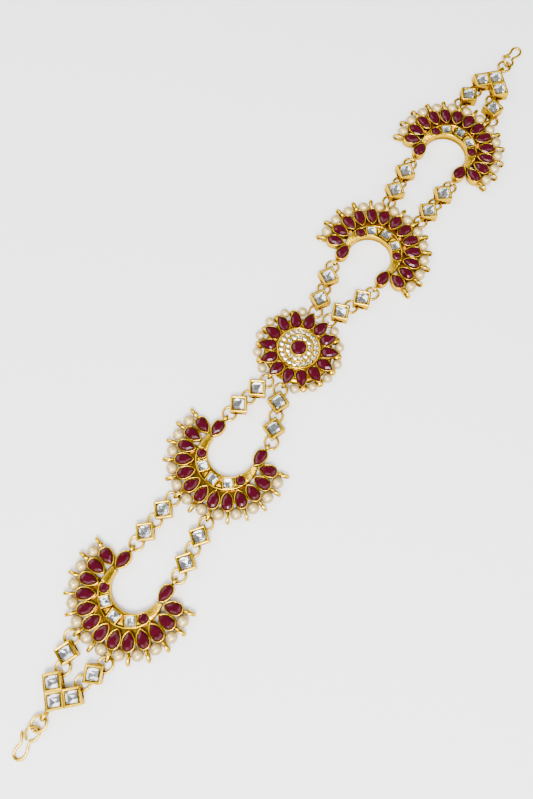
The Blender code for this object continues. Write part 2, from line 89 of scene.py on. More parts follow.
# Painted shade: the gold's own pale colour (B) turns to dark orange brown (A) where the occlusion mask finds
# a corner
gold_and_painted_shade = nodes.new("ShaderNodeMix")
gold_and_painted_shade.data_type = "RGBA"
gold_and_painted_shade.inputs["A"].default_value = (0.29, 0.16, 0.006, 1.0)
gold_and_painted_shade.inputs["B"].default_value = (0.66, 0.42, 0.008, 1.0)
links.new(painted_shade_amount.outputs["Result"], gold_and_painted_shade.inputs["Factor"])
wear = nodes.new("ShaderNodeMapRange")
wear.inputs["To Min"].default_value = 0.14
wear.inputs["To Max"].default_value = 0.3
links.new(cloud.outputs["Fac"], wear.inputs["Value"])
ends = nodes.new("NodeGroupOutput")
links.new(gold_and_painted_shade.outputs["Result"], ends.inputs["Colour"])
links.new(wear.outputs["Result"], ends.inputs["Roughness"])
links.new(cloud.outputs["Fac"], ends.inputs["Height"])


def gold_material(name, ripple):
    made = bpy.data.materials.new(name)
    made.use_nodes = True
    tree = made.node_tree
    shader = tree.nodes["Principled BSDF"]
    group = tree.nodes.new("ShaderNodeGroup")
    group.node_tree = plate
    bump = tree.nodes.new("ShaderNodeBump")
    bump.inputs["Strength"].default_value = ripple
    bump.inputs["Distance"].default_value = 0.03 * MM
    shader.inputs["Metallic"].default_value = 1.0
    shader.inputs["Specular Tint"].default_value = (1.0, 0.72, 0.28, 1.0)
    tree.links.new(group.outputs["Colour"], shader.inputs["Base Color"])
    tree.links.new(group.outputs["Roughness"], shader.inputs["Roughness"])
    tree.links.new(group.outputs["Height"], bump.inputs["Height"])
    tree.links.new(bump.outputs["Normal"], shader.inputs["Normal"])
    return made


cast_gold = gold_material("CastGold", 0.6)
drawn_gold = gold_material("DrawnGold", 0.2)

# Deep crimson glass with silky clouds in it, foiled behind so that little light passes.
ruby = bpy.data.materials.new("Ruby")
ruby.use_nodes = True
nodes = ruby.node_tree.nodes
links = ruby.node_tree.links
shader = nodes["Principled BSDF"]
coord = nodes.new("ShaderNodeTexCoord")
silk = nodes.new("ShaderNodeTexNoise")
silk.inputs["Scale"].default_value = 700.0
silk.inputs["Detail"].default_value = 2.0
links.new(coord.outputs["Object"], silk.inputs["Vector"])
wine = nodes.new("ShaderNodeMix")
wine.data_type = "RGBA"
wine.inputs["A"].default_value = (0.018, 0.0002, 0.002, 1.0)
wine.inputs["B"].default_value = (0.062, 0.0008, 0.009, 1.0)
links.new(silk.outputs["Fac"], wine.inputs["Factor"])
links.new(wine.outputs["Result"], shader.inputs["Base Color"])
shader.inputs["Roughness"].default_value = 0.1
shader.inputs["IOR"].default_value = 1.5
shader.inputs["Specular IOR Level"].default_value = 0.22

# Clear glass over a silvered, slightly creased back, which throws white and grey patches.
clear = bpy.data.materials.new("ClearGlass")
clear.use_nodes = True
shader = clear.node_tree.nodes["Principled BSDF"]
shader.inputs["Base Color"].default_value = (0.98, 0.98, 0.97, 1.0)
shader.inputs["Roughness"].default_value = 0.01
shader.inputs["IOR"].default_value = 1.52
shader.inputs["Transmission Weight"].default_value = 1.0

foil = bpy.data.materials.new("SilverFoil")
foil.use_nodes = True
nodes = foil.node_tree.nodes
links = foil.node_tree.links
shader = nodes["Principled BSDF"]
shader.inputs["Metallic"].default_value = 1.0
shader.inputs["Base Color"].default_value = (0.74, 0.75, 0.78, 1.0)
shader.inputs["Roughness"].default_value = 0.06
coord = nodes.new("ShaderNodeTexCoord")
crease = nodes.new("ShaderNodeTexVoronoi")
crease.inputs["Scale"].default_value = 420.0
links.new(coord.outputs["Object"], crease.inputs["Vector"])
bump = nodes.new("ShaderNodeBump")
bump.inputs["Strength"].default_value = 0.8
bump.inputs["Distance"].default_value = 0.18 * MM
links.new(crease.outputs["Distance"], bump.inputs["Height"])
links.new(bump.outputs["Normal"], shader.inputs["Normal"])


def polar(radius, angle, z=0.0):
    """The point at a radius and an angle from +X."""
    return Vector((radius * math.cos(angle), radius * math.sin(angle), z))


def loft(bm, rings, cap_first=False, cap_last=False, smooth=True, around=False):
    """Joins closed rings of points with faces; with around the last ring meets the first."""
    rows = [[bm.verts.new(point * MM) for point in ring] for ring in rings]
    for low, high in zip(rows, rows[1:] + rows[:1] if around else rows[1:]):
        count = len(low)
        for i in range(count):
            j = (i + 1) % count
            face = bm.faces.new((low[i], low[j], high[j], high[i]))
            face.smooth = smooth
    if cap_first:
        bm.faces.new(list(reversed(rows[0])))
    if cap_last:
        bm.faces.new(rows[-1])


# A wire's outline at a point of its path: its share of the radius, and its shift along in radii
MIDDLE = ((1.0, 0.0),)
FIRST_END = ((0.35, -0.9), (0.75, -0.6), (1.0, 0.0))
LAST_END = ((1.0, 0.0), (0.75, 0.6), (0.35, 0.9))


def tube(bm, path, radius, sides=10, closed=False):
    """A wire along a path of points; its open ends are rounded off."""
    count = len(path)
    rings = []
    side = None
    for i, point in enumerate(path):
        ahead = path[(i + 1) % count] if closed or i < count - 1 else point
        behind = path[i - 1] if closed or i > 0 else point
        along = (ahead - behind).normalized()
        if side is None:
            side = along.orthogonal().normalized()
        side = (side - along * side.dot(along)).normalized()
        other = along.cross(side)
        spokes = [side * math.cos(math.tau * k / sides) + other * math.sin(math.tau * k / sides)
                  for k in range(sides)]
        outlines = MIDDLE
        if not closed and i == 0:
            outlines = FIRST_END
        if not closed and i == count - 1:
            outlines = LAST_END
        for share, shift in outlines:
            rings.append([point + along * shift * radius + spoke * radius * share for spoke in spokes])
    loft(bm, rings, cap_first=not closed, cap_last=not closed, around=closed)


def drop(inset, z, size=PEAR, rounds=8, sides=5):
    """A pear outline drawn in by inset, its round end at the origin and its tip towards -X.
    Size holds the radii of the two ends, the distance between them and the bow of the sides."""
    big, small, reach, bow = size
    x = ((bow - small) ** 2 - (bow - big) ** 2 - reach ** 2) / (2 * reach)
    y = -math.sqrt((bow - big) ** 2 - x ** 2)
    first = math.atan2(-y, -x)
    half = [polar(big - inset, first * i / rounds, z) for i in range(rounds + 1)]
    if inset < small:
        last = math.atan2(-y, -reach - x)
        steps = [first + (last - first) * i / sides for i in range(1, sides + 1)]
        tip_angles = ((last + math.pi) / 2, math.pi)
        tip = [polar(small - inset, angle, z) - Vector((reach, 0.0, 0.0)) for angle in tip_angles]
    else:
        last = math.pi - math.asin(-y / (bow - inset))
        steps = [first + (last - first) * i / (sides + 2) for i in range(1, sides + 3)]
        tip = []
    half += [polar(bow - inset, angle, z) + Vector((x, y, 0.0)) for angle in steps] + tip
    return half + [Vector((point.x, -point.y, z)) for point in reversed(half[1:-1])]


def cushion(inset, z, half=2.925, corner=0.3, turn=0.0):
    """A square outline with rounded corners, drawn in by inset."""
    side = half - inset
    round_off = max(corner - inset, 0.05)
    points = []
    for quarter in range(4):
        base = math.pi / 2 * quarter
        centre = Matrix.Rotation(base, 3, "Z") @ Vector((side - round_off, side - round_off, 0.0))
        for step in range(4):
            points.append(centre + polar(round_off, base + math.pi / 2 * step / 3, z))
    return [Matrix.Rotation(turn, 3, "Z") @ point for point in points]


def disc(radius, z, count=24):
    """A round outline."""
    return [polar(radius, math.tau * i / count, z) for i in range(count)]


def at(ring, centre, turn=0.0):
    """The outline turned and moved to its centre."""
    spin = Matrix.Rotation(turn, 3, "Z")
    return [spin @ point + Vector(centre) for point in ring]


def faceted(bm, outline, centre, turn, levels, pivot=0.0):
    """A cut stone: rows of flat facets up to a table; levels are rows of share and height."""
    count = len(outline)
    rows = []
    for number, (share, z) in enumerate(levels):
        ring = []
        for i, point in enumerate(outline):
            if number % 2 and number < len(levels) - 1:
                point = (point + outline[(i + 1) % count]) / 2
            ring.append(Vector((pivot + (point.x - pivot) * share, point.y * share, z)))
        rows.append(at(ring, centre, turn))
    verts = [[bm.verts.new(point * MM) for point in ring] for ring in rows]
    for number, (low, high) in enumerate(zip(verts[:-1], verts[1:])):
        lead = number % 2
        for i in range(count):
            j = (i + 1) % count
            if lead:
                bm.faces.new((low[i], high[j], high[i]))
                bm.faces.new((low[i], low[j], high[j]))
            else:
                bm.faces.new((low[i], low[j], high[i]))
                bm.faces.new((low[j], high[j], high[i]))
    bm.faces.new(list(reversed(verts[0])))
    bm.faces.new(verts[-1])


def ball(bm, centre, radius, segments=24, rings=12, squash=(1.0, 1.0, 1.0), turn=0.0):
    """A smooth ball; squash scales it along its own three axes."""
    place = Matrix.Translation(Vector(centre) * MM) @ Matrix.Rotation(turn, 4, "Z")
    place = place @ Matrix.Diagonal((*squash, 1.0))
    made = bmesh.ops.create_uvsphere(bm, u_segments=segments, v_segments=rings, radius=radius * MM,
                                     matrix=place)
    for vert in made["verts"]:
        for face in vert.link_faces:
            face.smooth = True


def as_mesh(bm, name, material):
    """The finished mesh, with its faces outwards and one material."""
    bmesh.ops.recalc_face_normals(bm, faces=bm.faces)
    mesh = bpy.data.meshes.new(name)
    bm.to_mesh(mesh)
    bm.free()
    mesh.materials.append(material)
    return mesh


def piece(name, mesh, x=0.0, y=0.0, turn=0.0, z=0.0, stands_for=()):
    """One visible piece at a place in millimetres; it stands for the CAD nodes named last."""
    item = bpy.data.objects.new(name, mesh)
    item.location = (x * MM, y * MM, z * MM)
    item.rotation_euler = (0.0, 0.0, turn)
    bpy.context.scene.collection.objects.link(item)
    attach(item, "root")
    if stands_for:
        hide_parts(*stands_for)
    return item


def band_edges(angle):
    """The band's inner and outer radius; its inner edge is a circle set back from the centre."""
    set_back = 2.4
    inner_edge = 8.0
    inner = -set_back * math.cos(angle) + math.sqrt(inner_edge ** 2 - (set_back * math.sin(angle)) ** 2)
    return inner, 10.75 + 0.2 * abs(angle / math.radians(110)) ** 2


def eye(bm, near, far, low, high, wire, width, turn=0.0, spot=(0.0, 0.0)):
    """An upright cast loop from near to far and from low to high, in its own plane. Wire is its
    thickness in that plane and width the one across it."""
    middle = Vector(((near + far) / 2, 0.0, (low + high) / 2))
    rings = []
    for i in range(24):
        a = math.tau * i / 24
        out = Vector((math.cos(a), 0.0, math.sin(a)))
        centre = middle + Vector((out.x * (far - near - wire) / 2, 0.0, out.z * (high - low - wire) / 2))
        ring = []
        for k in range(12):
            b = math.tau * k / 12
            ring.append(centre + out * (math.cos(b) * wire / 2) + Vector((0.0, math.sin(b) * width / 2, 0.0)))
        rings.append(at(ring, (*spot, 0.0), turn))
    loft(bm, rings, around=True)


# A pear collet from its back over its rim and down to the stone: rows of inset and height
CUP = ((0.3, 0.35), (0.06, 0.55), (0.0, 0.9), (0.0, 3.12), (0.06, 3.3), (0.18, 3.4), (0.32, 3.36),
       (0.43, 3.2), (0.46, 2.9))

bm = bmesh.new()
for index in PEAR_INDEXES:
    turn = index * PEAR_PITCH
    rings = [at(drop(inset, z), polar(PEAR_RADIUS, turn), turn) for inset, z in CUP]
    loft(bm, rings, cap_first=True, cap_last=True)
    eye(bm, 17.3, 22.0, 0.12, 3.5, 0.66, 1.15, turn)
for side in (-1, 1):
    spot = (END_PEAR[0], side * END_PEAR[1], 0.0)
    loft(bm, [at(drop(inset, z), spot, math.pi) for inset, z in CUP], cap_first=True, cap_last=True)
    eye(bm, 1.9, 4.85, 0.05, 2.75, 0.62, 0.95, math.pi, spot[:2])
sections = []
for step in range(-38, 39):
    angle = math.radians(76) * step / 38
    inner, outer = band_edges(angle)
    profile = [(inner, 0.2), (inner, 2.85), (inner + 0.1, 3.12), (inner + 0.34, 3.25), (inner + 0.58, 3.12),
               (inner + 0.68, 2.75), (inner + 0.72, 2.45), (outer - 0.72, 2.45), (outer - 0.68, 2.75),
               (outer - 0.58, 3.12), (outer - 0.34, 3.25), (outer - 0.1, 3.12), (outer, 2.85), (outer, 0.2)]
    sections.append([polar(radius, angle, z) for radius, z in profile])
loft(bm, sections, cap_first=True, cap_last=True)
for side in (-1, 1):
    sections = []
    for step in range(15):
        angle = side * math.radians(75.5 + 34.5 * step / 14)
        inner, outer = band_edges(angle)
        wide = outer - inner
        profile = ((0.0, 0.2), (0.0, 2.7), (0.05, 3.1), (0.15, 3.3), (0.5, 3.36), (0.85, 3.3), (0.95, 3.1),
                   (1.0, 2.7), (1.0, 0.2))
        sections.append([polar(inner + share * wide, angle, z) for share, z in profile])
    loft(bm, sections, cap_first=True, cap_last=True)
back = []
for step in range(-30, 31):
    angle = math.radians(80) * step / 30
    profile = ((10.0, 0.4), (10.0, 1.2), (14.9, 1.2), (14.9, 0.4))
    back.append([polar(radius, angle, z) for radius, z in profile])
loft(bm, back, cap_first=True, cap_last=True, smooth=False)
for side in (-1, 1):
    for step in range(13):
        path = []
        for k in range(7):
            angle = side * math.radians(77.5 + 2.3 * step + 0.7 * k)
            inner, outer = band_edges(angle)
            height = 3.3 + 0.04 * math.sin(math.pi * k / 6)
            path.append(polar(inner + (outer - inner) * (0.12 + 0.76 * k / 6), angle, height))
        tube(bm, path, 0.16, sides=8)
    for towards, wide in ((19.4, 6.6), (53.6, 3.0)):
        corners = [polar(9.95, side * math.radians(towards - wide), 2.4),
                   polar(9.95, side * math.radians(towards + wide), 2.4),
                   polar(7.0, side * math.radians(towards), 2.4)]
        heart = (corners[0] + corners[1] + corners[2]) / 3
        top = [heart.lerp(corner, 0.84) + Vector((0.0, 0.0, 0.6)) for corner in corners]
        point = [heart.lerp(corner, 0.2) + Vector((0.0, 0.0, 0.9)) for corner in corners]
        loft(bm, [corners, top, point], cap_last=True, smooth=False)
for angle in BAND_SQUARE_ANGLES:
    spot = polar(BAND_SQUARE_RADIUS, angle)
    rows = ((0.0, 2.3), (0.0, 3.25), (0.08, 3.48), (0.24, 3.58), (0.4, 3.5), (0.5, 3.25), (0.5, 2.5))
    loft(bm, [at(cushion(inset, z, 2.02, 0.2), spot, angle) for inset, z in rows], cap_last=True)
for side in (-1, 1):
    spot = polar(BAND_ROUND_RADIUS, side * BAND_ROUND_ANGLE)
    rows = ((2.02, 2.3), (2.02, 3.2), (1.95, 3.4), (1.83, 3.48), (1.71, 3.4), (1.64, 3.05))
    loft(bm, [at(disc(radius, z), spot) for radius, z in rows], cap_last=True)
moon_gold = as_mesh(bm, "CrescentGold", cast_gold)

bm = bmesh.new()
PEAR_CUT = ((1.0, 2.95), (0.97, 3.25), (0.8, 3.72), (0.52, 4.0))
for index in PEAR_INDEXES:
    turn = index * PEAR_PITCH
    faceted(bm, drop(0.38, 0.0, PEAR, 3, 2), polar(PEAR_RADIUS, turn), turn, PEAR_CUT, -0.8)
for side in (-1, 1):
    faceted(bm, drop(0.38, 0.0, PEAR, 3, 2), (END_PEAR[0], side * END_PEAR[1], 0.0), math.pi, PEAR_CUT, -0.8)
    spot = polar(BAND_ROUND_RADIUS, side * BAND_ROUND_ANGLE)
    faceted(bm, disc(1.68, 0.0, 12), spot, 0.0, ((1.0, 2.9), (0.97, 3.25), (0.78, 3.68), (0.5, 3.9)))
moon_ruby = as_mesh(bm, "CrescentRubies", ruby)


EIGHT_WAYS = ((1, 0.0), (1, 1), (0.0, 1), (-1, 1), (-1, 0.0), (-1, -1), (0.0, -1), (1, -1))


def square_stone(bm, half, spot, turn, base, top):
    """The glass of a square stone: a girdle, two rows of facets and a table."""
    outline = [Vector((x * half, y * half, 0.0)) for x, y in EIGHT_WAYS]
    rise = top - base
    levels = ((1.0, base), (0.96, base + 0.35 * rise), (0.86, base + 0.7 * rise), (0.6, top))
    faceted(bm, outline, spot, turn, levels)


def foil_cup(bm, half, spot, turn, base, top):
    """The silvered back under a square stone: eight creased planes down to a point off its centre."""
    ring = at([Vector((x * half, y * half, top)) for x, y in EIGHT_WAYS], spot, turn)
    off = Matrix.Rotation(turn, 3, "Z") @ Vector((0.34 * half, 0.22 * half, base))
    low = bm.verts.new((Vector(spot) + off) * MM)
    rims = [bm.verts.new(point * MM) for point in ring]
    for i in range(8):
        bm.faces.new((rims[i], rims[(i + 1) % 8], low))


bm = bmesh.new()
for angle in BAND_SQUARE_ANGLES:
    square_stone(bm, 1.54, polar(BAND_SQUARE_RADIUS, angle), angle, 3.2, 3.82)
moon_clear = as_mesh(bm, "CrescentClear", clear)
bm = bmesh.new()
for angle in BAND_SQUARE_ANGLES:
    foil_cup(bm, 1.52, polar(BAND_SQUARE_RADIUS, angle), angle, 2.76, 3.17)
moon_foil = as_mesh(bm, "CrescentFoil", foil)

for name, x, y, degrees in CRESCENTS:
    turn = math.radians(degrees)
    piece(f"crescent_gold_{name}", moon_gold, x, y, turn, stands_for=[f"crescent_{name}"])
    piece(f"crescent_rubies_{name}", moon_ruby, x, y, turn)
    piece(f"crescent_clear_{name}", moon_clear, x, y, turn)
    piece(f"crescent_foil_{name}", moon_foil, x, y, turn)


# Crescent pearls
# Twelve round imitation pearls of lacquered glass on each crescent, strung on one fine gilt
# wire that passes through every eyelet and is wound off round the last one at each end.
THREAD_RADIUS = 19.1
THREAD_Z = 2.05
COIL_RADIUS = 0.42

# A cream lacquer with a soft broad shine. Towards the edge, where the surface turns from the view, the colour
# is painted a darker warm beige: painted shade and a painted warm reflection of the gold around it.
pearl = bpy.data.materials.new("PearlCoat")
pearl.use_nodes = True
nodes = pearl.node_tree.nodes
links = pearl.node_tree.links
shader = nodes["Principled BSDF"]
# Painted rim shade: a facing weight that darkens and warms the pearl's colour towards its outline
painted_rim_weight = nodes.new("ShaderNodeLayerWeight")
painted_rim_weight.inputs["Blend"].default_value = 0.66
cream_and_painted_rim = nodes.new("ShaderNodeMix")
cream_and_painted_rim.data_type = "RGBA"
cream_and_painted_rim.inputs["A"].default_value = (0.62, 0.455, 0.165, 1.0)
cream_and_painted_rim.inputs["B"].default_value = (0.27, 0.145, 0.012, 1.0)
links.new(painted_rim_weight.outputs["Facing"], cream_and_painted_rim.inputs["Factor"])
links.new(cream_and_painted_rim.outputs["Result"], shader.inputs["Base Color"])
shader.inputs["Metallic"].default_value = 0.4
shader.inputs["Roughness"].default_value = 0.34
shader.inputs["Coat Weight"].default_value = 1.0
shader.inputs["Coat Roughness"].default_value = 0.1

bm = bmesh.new()
for index in PEAR_INDEXES[:-1]:
    angle = (index + 0.5) * PEAR_PITCH
    radius = THREAD_RADIUS * math.cos(PEAR_PITCH / 2)
    ball(bm, polar(radius, angle, THREAD_Z), 2.0, 32, 20, (0.99, 1.0, 0.98), angle)
moon_pearls = as_mesh(bm, "CrescentPearls", pearl)
bm = bmesh.new()
path = [polar(THREAD_RADIUS, index * PEAR_PITCH, THREAD_Z) for index in PEAR_INDEXES]
tube(bm, path, 0.17, sides=8)
for side in (-1, 1):
    angle = side * 6 * PEAR_PITCH
    coil = []
    for k in range(22):
        turn = math.tau * k / 8
        spot = Vector((THREAD_RADIUS + COIL_RADIUS * math.cos(turn), 0.28 * k / 6 * side,
                       2.3 + COIL_RADIUS * math.sin(turn)))
        coil.append(Matrix.Rotation(angle, 3, "Z") @ spot)
    tube(bm, coil, 0.15, sides=8)
moon_wire = as_mesh(bm, "CrescentWire", drawn_gold)
for name, x, y, degrees in CRESCENTS:
    turn = math.radians(degrees)
    piece(f"crescent_pearls_{name}", moon_pearls, x, y, turn, stands_for=[f"pearls_{name}"])
    piece(f"crescent_wire_{name}", moon_wire, x, y, turn)


# Medallion
# A cast flower. Fourteen pear collets stand on a drum with their tips outwards, over a
# back plate with rounded lumps between the pearls; a stepped disc in the middle carries
# two rings of small round stones and a bezel. Four wire lugs take the chains.
PETALS = 14
PETAL = (2.22, 0.32, 4.13, 5.6)
PETAL_RADIUS = 9.9
PEARL_START = 28.0
PEARL_STEP = 24.8
LUG_Y = 2.95

# The small stones are silvered all over and act as bright metal facets.
sparkle = bpy.data.materials.new("Sparkle")
sparkle.use_nodes = True
shader = sparkle.node_tree.nodes["Principled BSDF"]
shader.inputs["Metallic"].default_value = 1.0
shader.inputs["Base Color"].default_value = (0.82, 0.82, 0.8, 1.0)
shader.inputs["Roughness"].default_value = 0.05

bm = bmesh.new()
rows = ((11.2, 0.0), (12.1, 0.15), (12.3, 0.6), (12.1, 1.1), (11.4, 1.4), (10.6, 1.6), (10.6, 3.0))
loft(bm, [disc(radius, z, 56) for radius, z in rows], cap_first=True, cap_last=True)
for index in range(PETALS):
    turn = math.tau * (index + 0.5) / PETALS
    rows = ((0.7, 1.2), (0.2, 2.0), (0.02, 2.7), (0.0, 3.4), (0.04, 3.6), (0.12, 3.7), (0.21, 3.66),
            (0.28, 3.5), (0.3, 3.2))
    loft(bm, [at(drop(inset, z, PETAL), polar(PETAL_RADIUS, turn), turn + math.pi) for inset, z in rows],
         cap_first=True, cap_last=True)
lumps = []
for side in (0.0, math.pi):
    lumps += [side + math.radians(PEARL_START + PEARL_STEP * (k + 0.5)) for k in range(5)]
for angle in lumps:
    ball(bm, polar(13.7, angle, 1.25), 1.0, 20, 12, (1.9, 1.5, 1.15), angle)
rows = ((7.7, 2.6), (7.75, 3.9), (7.68, 4.2), (7.5, 4.32), (7.28, 4.26), (7.16, 4.05), (7.1, 3.85),
        (5.25, 3.95), (5.2, 4.3), (5.05, 4.45), (4.88, 4.4), (4.8, 4.2),
        (3.15, 4.3), (3.1, 4.9), (3.0, 5.05), (2.84, 5.08), (2.66, 5.0), (2.6, 4.7))
loft(bm, [disc(radius, z, 64) for radius, z in rows], cap_last=True)
# Radius and angle of each small stone, its size and the height of its seat
OUTER_STONES = [(6.15, math.tau * k / 20, 0.9, 3.85) for k in range(20)]
INNER_STONES = [(3.97, math.tau * k / 13, 0.88, 4.2) for k in range(13)]
for radius, angle, size, base in OUTER_STONES + INNER_STONES:
    spot = polar(radius, angle)
    rows = ((size + 0.05, base), (size + 0.05, base + 0.06), (size, base + 0.1), (size - 0.06, base + 0.02))
    loft(bm, [at(disc(share, z, 16), spot) for share, z in rows], cap_last=True)
for count, radius, z in ((20, 6.9, 4.1), (20, 5.42, 4.1), (13, 3.3, 4.45), (13, 4.66, 4.4)):
    for k in range(count):
        ball(bm, polar(radius, math.tau * (k + 0.5) / count, z), 0.22, 8, 6)
for side in (-1, 1):
    facing = 0.0 if side > 0 else math.pi
    for up in (-1, 1):
        eye(bm, 11.2, 15.0, 0.12, 3.2, 0.6, 0.95, facing, (0.0, up * side * LUG_Y))
piece("medallion_gold", as_mesh(bm, "MedallionGold", cast_gold), stands_for=["medallion"])

bm = bmesh.new()
for index in range(PETALS):
    turn = math.tau * (index + 0.5) / PETALS
    faceted(bm, drop(0.24, 0.0, PETAL, 3, 2), polar(PETAL_RADIUS, turn), turn + math.pi,
            ((1.0, 3.2), (0.97, 3.5), (0.8, 3.98), (0.5, 4.25)), -0.8)
faceted(bm, disc(2.68, 0.0, 16), (0.0, 0.0, 0.0), 0.0, ((1.0, 4.6), (0.97, 4.95), (0.8, 5.35), (0.55, 5.55)))
piece("medallion_rubies", as_mesh(bm, "MedallionRubies", ruby))

bm = bmesh.new()
for radius, angle, size, base in OUTER_STONES + INNER_STONES:
    levels = ((1.0, base + 0.05), (0.98, base + 0.2), (0.78, base + 0.42), (0.45, base + 0.52))
    faceted(bm, disc(size - 0.02, 0.0, 8), polar(radius, angle), angle * 2.6, levels)
piece("medallion_small_stones", as_mesh(bm, "SmallStones", sparkle))


# Medallion pearls
# Six smaller imitation pearls on each side of the chain's line, on a gilt wire that goes once
# round the flower and through its lugs.
PEARL_RING = 14.6

bm = bmesh.new()
for side in (0.0, math.pi):
    for k in range(6):
        angle = side + math.radians(PEARL_START + PEARL_STEP * k)
        ball(bm, polar(PEARL_RING, angle, THREAD_Z), 1.7, 32, 20, (0.99, 1.0, 0.98), angle)
piece("medallion_pearls_round", as_mesh(bm, "MedallionPearls", pearl),
      stands_for=["medallion_pearls"])
bm = bmesh.new()
ring = []
for side in (0.0, math.pi):
    lugs = [Vector((12.3, -LUG_Y, THREAD_Z)), Vector((12.3, LUG_Y, THREAD_Z))]
    ring += at(lugs, (0.0, 0.0, 0.0), side)
    ring += [polar(PEARL_RING, side + math.radians(21.3 + 137.4 * k / 10), THREAD_Z) for k in range(11)]
tube(bm, ring, 0.17, sides=8, closed=True)
piece("medallion_wire", as_mesh(bm, "MedallionWire", drawn_gold))


# Jump rings
# Round rings bent from one gauge of gilt wire, three to each length of chain, with the cut
# where the two ends meet still showing.
RING_MEAN = 2.32
RING_WIRE = 0.94


def ring_mesh(name):
    """A ring round its own middle, its cut at 62 degrees and closed to a hair."""
    bm = bmesh.new()
    path = [polar(RING_MEAN, math.radians(62 + 357.5 * k / 44)) for k in range(45)]
    tube(bm, path, RING_WIRE / 2, sides=12)
    return as_mesh(bm, name, drawn_gold)


jump_ring = ring_mesh("JumpRing")
CHAINS = [f"chain_{place}_{side}_{row}" for place in ("inner", "outer") for side in ("left", "right")
          for row in ("upper", "lower")]


def middle(node):
    """The middle of a CAD node's box, in millimetres."""
    low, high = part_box(node)
    return (Vector(low) + Vector(high)) / 2 / MM


runs = []
for chain in CHAINS:
    start, half_way, stop = (middle(f"{chain}_ring_{k}") for k in (1, 3, 5))
    turn = math.atan2(stop.y - start.y, stop.x - start.x)
    runs.append((chain, start, stop, turn))
    for k, spot in ((1, start), (3, half_way), (5, stop)):
        piece(f"ring_{chain}_{k}", jump_ring, spot.x, spot.y, turn + 0.7 * k, spot.z,
              [f"{chain}_ring_{k}"])


# Square links
# Open square collets with tall straight walls, burnished in over a square stone. The
# rings pass through an opening behind each of the two corners on the chain's line.
# The wall from its back over its rim and down inside: rows of inset and height
WALL = ((0.35, 0.12), (0.1, 0.02), (0.0, 0.2), (0.0, 3.5), (0.06, 3.78), (0.2, 3.96), (0.42, 4.0),
        (0.66, 3.94), (0.9, 3.76), (1.03, 3.45), (1.05, 2.4))
# The opening for a ring, from the link's middle outwards and upwards
SLOT_OUT = (1.19, 3.42)
SLOT_UP = (0.63, 2.07)


def collet_mesh(name, slots):
    """A square collet with its corners on X and Y and a slot behind each corner named by its side."""
    bm = bmesh.new()
    rings = [at(cushion(inset, z), (0, 0, 0), math.pi / 4) for inset, z in WALL]
    loft(bm, rings, cap_first=True, cap_last=True)
    body = bpy.data.objects.new("body", as_mesh(bm, name, cast_gold))
    bm = bmesh.new()
    for way in slots:
        near, far = (way * out for out in SLOT_OUT)
        box = [Vector((near, -6, 0)), Vector((far, -6, 0)), Vector((far, 6, 0)), Vector((near, 6, 0))]
        loft(bm, [[point + Vector((0, 0, z)) for point in box] for z in SLOT_UP], True, True, False)
    cutter = bpy.data.objects.new("cutter", as_mesh(bm, "cutter", cast_gold))
    for item in (body, cutter):
        bpy.context.scene.collection.objects.link(item)
    cut = body.modifiers.new("slots", "BOOLEAN")
    cut.operation = "DIFFERENCE"
    cut.object = cutter
    mesh = bpy.data.meshes.new_from_object(body.evaluated_get(bpy.context.evaluated_depsgraph_get()))
    bpy.data.objects.remove(cutter)
    bpy.data.objects.remove(body)
    return mesh


square_gold = collet_mesh("SquareGold", (-1, 1))
bm = bmesh.new()
square_stone(bm, 1.9, (0.0, 0.0, 0.0), math.pi / 4, 3.4, 4.45)
square_clear = as_mesh(bm, "SquareClear", clear)
bm = bmesh.new()
foil_cup(bm, 1.87, (0.0, 0.0, 0.0), math.pi / 4, 2.86, 3.36)
square_foil = as_mesh(bm, "SquareFoil", foil)


def square_link(name, x, y, turn, stands_for=()):
    """The collet, glass and foil of one link."""
    piece(f"square_gold_{name}", square_gold, x, y, turn, stands_for=stands_for)
    piece(f"square_clear_{name}", square_clear, x, y, turn)
    piece(f"square_foil_{name}", square_foil, x, y, turn)


for chain, start, stop, turn in runs:
    for k in (2, 4):
        spot = start.lerp(stop, (k - 1) / 4)
        square_link(f"{chain}_{k}", spot.x, spot.y, turn, [f"{chain}_square_{k}"])


# Short end chains
# A ring, one square and a ring, the same as in the long chains, from the outer crescents'
# eyelets to the arms of the end corners. The links of each lie in one line.

# Name, place of the square along X and Y, turn in degrees, and its distance to each ring
SHORT = (
    ("left_lower", -125.51, -6.13, 161.98, 4.321),
    ("left_upper", -125.24, 4.77, -157.91, 4.725),
    ("right_lower", 126.16, -7.98, 27.62, 4.725),
    ("right_upper", 126.28, 2.92, -12.85, 4.169),
)
for name, x, y, degrees, half in SHORT:
    turn = math.radians(degrees)
    square_link(f"short_{name}", x, y, turn, [f"short_chain_{name}"])
    for way in (-1, 1):
        spot = Vector((x, y, 0.0)) + polar(way * half, turn)
        piece(f"ring_short_{name}_{way + 1}", jump_ring, spot.x, spot.y, turn + 0.8 * way, 1.35)


